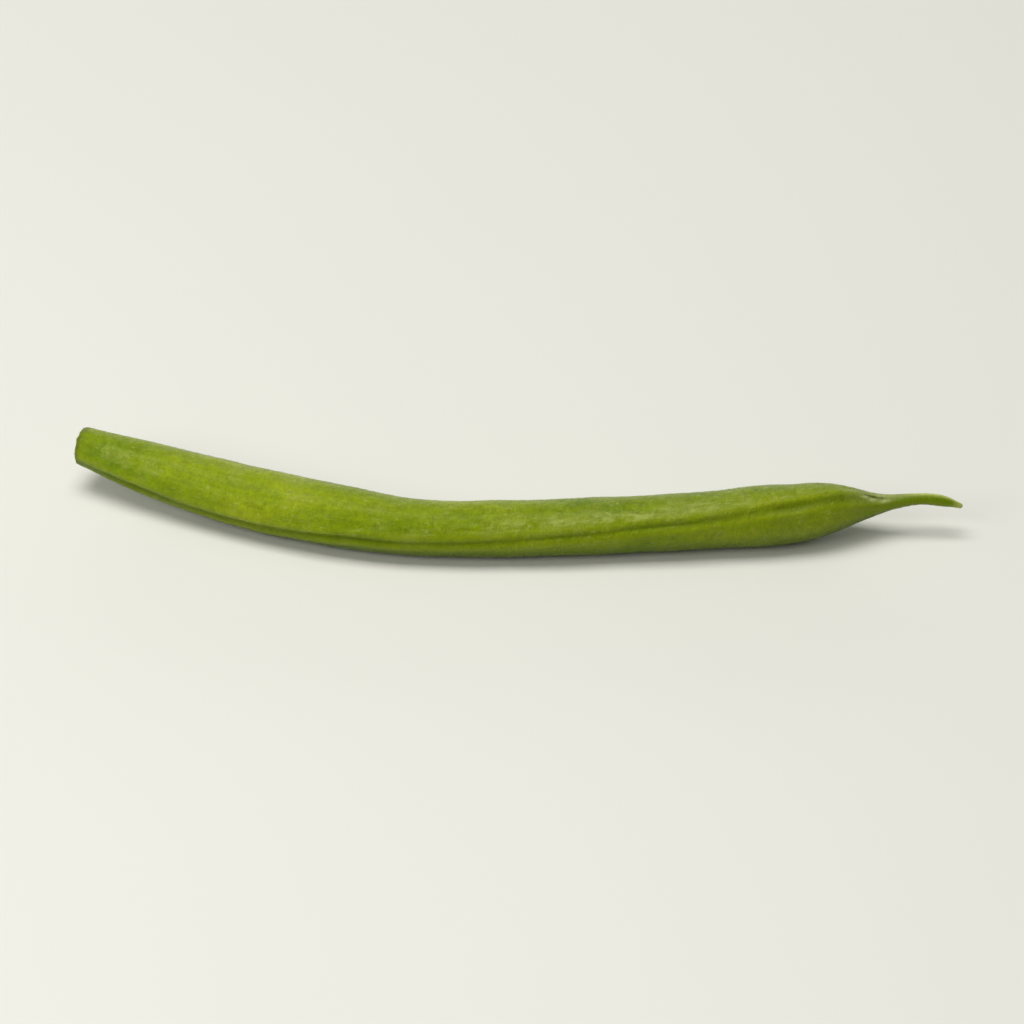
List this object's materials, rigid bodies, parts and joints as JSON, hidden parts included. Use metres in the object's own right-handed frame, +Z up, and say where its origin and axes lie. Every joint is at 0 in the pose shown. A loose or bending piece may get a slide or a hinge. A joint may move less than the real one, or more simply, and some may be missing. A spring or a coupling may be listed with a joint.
{
  "type": "green bean",
  "caption": "Whole picked green bean pod, gently curved, with a snapped stem end, a grooved seam and a thin curved beak.",
  "frame": {"origin": "under the middle of the pod's bounding box, on the flat surface the pod lies on", "axes": "+X along the pod from the snapped stem end towards the beak, +Z up from the resting surface, +Y across the pod towards the inside of its bend"},
  "size_m": [0.1346, 0.0192, 0.0093],
  "materials": {
    "pod_skin": "satin yellow-green pod skin, finely mottled, a little deeper green along the seams"
  },
  "bodies": {
    "root": {"bean_pod": "pod_skin"}
  },
  "joints": []
}
